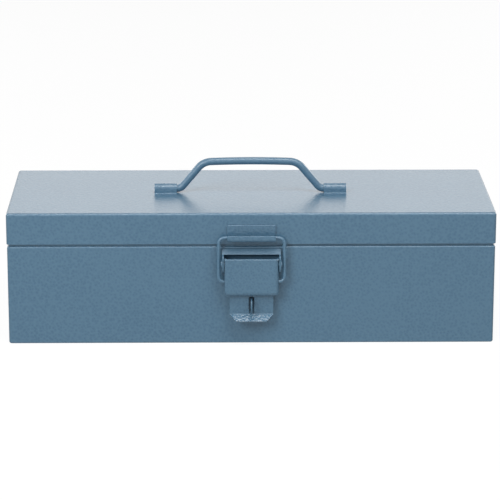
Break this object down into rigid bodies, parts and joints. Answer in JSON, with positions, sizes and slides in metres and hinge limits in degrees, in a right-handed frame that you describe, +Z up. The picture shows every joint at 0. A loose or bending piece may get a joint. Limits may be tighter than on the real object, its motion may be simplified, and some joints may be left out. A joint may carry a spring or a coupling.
{
  "type": "toolbox",
  "caption": "Small trunk-type steel toolbox with a flat hinged lid, a swinging round-bar handle in two straps and a front draw latch with a padlock staple.",
  "frame": {"origin": "centre of the box's underside, where it rests", "axes": "+X along the box, -Y towards the latch, +Y towards the hinges, +Z up through the lid"},
  "size_m": [0.3334, 0.1414, 0.1177],
  "materials": {
    "hammertone_paint": "semi-gloss hammertone stoving enamel on steel"
  },
  "bodies": {
    "box": {"body_shell": "hammertone_paint", "latch_base": "hammertone_paint", "latch_pivot_pin": "hammertone_paint", "padlock_staple": "hammertone_paint", "hinge_body_leaf_left": "hammertone_paint", "hinge_body_leaf_right": "hammertone_paint", "hinge_pin_left": "hammertone_paint", "hinge_pin_right": "hammertone_paint"},
    "lid": {"lid_shell": "hammertone_paint", "keeper_hook": "hammertone_paint", "handle_strap_left": "hammertone_paint", "handle_strap_right": "hammertone_paint", "hinge_lid_leaf_left": "hammertone_paint", "hinge_lid_leaf_right": "hammertone_paint"},
    "handle": {"handle_bail": "hammertone_paint"},
    "lever": {"latch_lever": "hammertone_paint"},
    "loop": {"latch_loop": "hammertone_paint"}
  },
  "joints": [
    {"name": "lid_hinge", "type": "hinge", "parent": "box", "child": "lid", "pos_m": [0, 0.0643, 0.06985], "axis": [-1, 0, 0], "range_deg": [0, 103]},
    {"name": "handle_swing", "type": "hinge", "parent": "lid", "child": "handle", "pos_m": [0, -0.0045, 0.0953], "axis": [1, 0, 0], "range_deg": [-90, 90]},
    {"name": "lever_throw", "type": "hinge", "parent": "box", "child": "lever", "pos_m": [0, -0.0678, 0.0582], "axis": [-1, 0, 0], "range_deg": [0, 70]},
    {"name": "loop_swing", "type": "hinge", "parent": "lever", "child": "loop", "pos_m": [0, -0.0678, 0.0458], "axis": [-1, 0, 0], "range_deg": [-46, 0]}
  ],
  "couplings": [
    {"joint": "loop_swing", "follows": "lever_throw", "ratio": -0.65}
  ]
}
